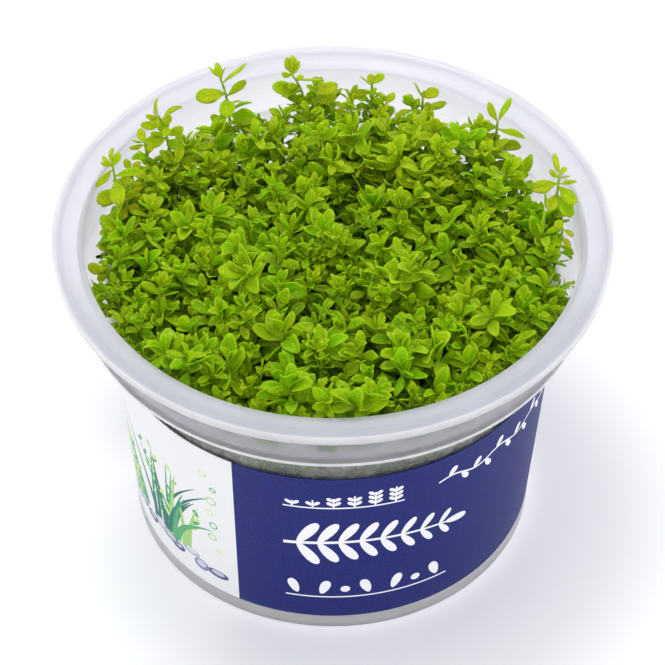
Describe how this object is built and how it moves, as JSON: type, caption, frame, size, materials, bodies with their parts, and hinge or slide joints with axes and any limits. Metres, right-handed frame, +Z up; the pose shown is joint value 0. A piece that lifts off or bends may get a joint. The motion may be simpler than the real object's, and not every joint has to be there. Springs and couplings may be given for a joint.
{
  "type": "pearlweed in-vitro cup",
  "caption": "Aquarium carpet plant, pearlweed, grown as a dense mat of leafy stems in a clear nutrient gel inside a translucent round plastic cup with a wide rim and a printed sleeve.",
  "frame": {"origin": "centre of the cup's foot, in the plane that it stands on", "axes": "+Z up along the cup's axis; -Y towards the printed side of the sleeve; +X to the right seen from there"},
  "size_m": [0.1, 0.1, 0.0737],
  "materials": {
    "cup_plastic": "satin",
    "sleeve_paper": "satin",
    "gel": "gloss",
    "leaf": "satin"
  },
  "bodies": {
    "root": {"cup": "cup_plastic", "label_sleeve": "sleeve_paper", "nutrient_gel": "gel", "tuft_01": "leaf", "tuft_02": "leaf", "tuft_03": "leaf", "tuft_04": "leaf", "tuft_05": "leaf", "tuft_06": "leaf", "tuft_07": "leaf", "tuft_08": "leaf", "tuft_09": "leaf", "tuft_10": "leaf", "tuft_11": "leaf", "tuft_12": "leaf", "tuft_13": "leaf", "tuft_14": "leaf", "tuft_15": "leaf", "tuft_16": "leaf", "tuft_17": "leaf", "tuft_18": "leaf", "tuft_19": "leaf", "tuft_20": "leaf", "tuft_21": "leaf", "tuft_22": "leaf", "tuft_23": "leaf", "tuft_24": "leaf", "tuft_25": "leaf", "tuft_26": "leaf", "tuft_27": "leaf", "tuft_28": "leaf", "tuft_29": "leaf", "tuft_30": "leaf", "tuft_31": "leaf", "tuft_32": "leaf", "tuft_33": "leaf", "tuft_34": "leaf", "tuft_35": "leaf", "tuft_36": "leaf", "tuft_37": "leaf"}
  },
  "joints": []
}
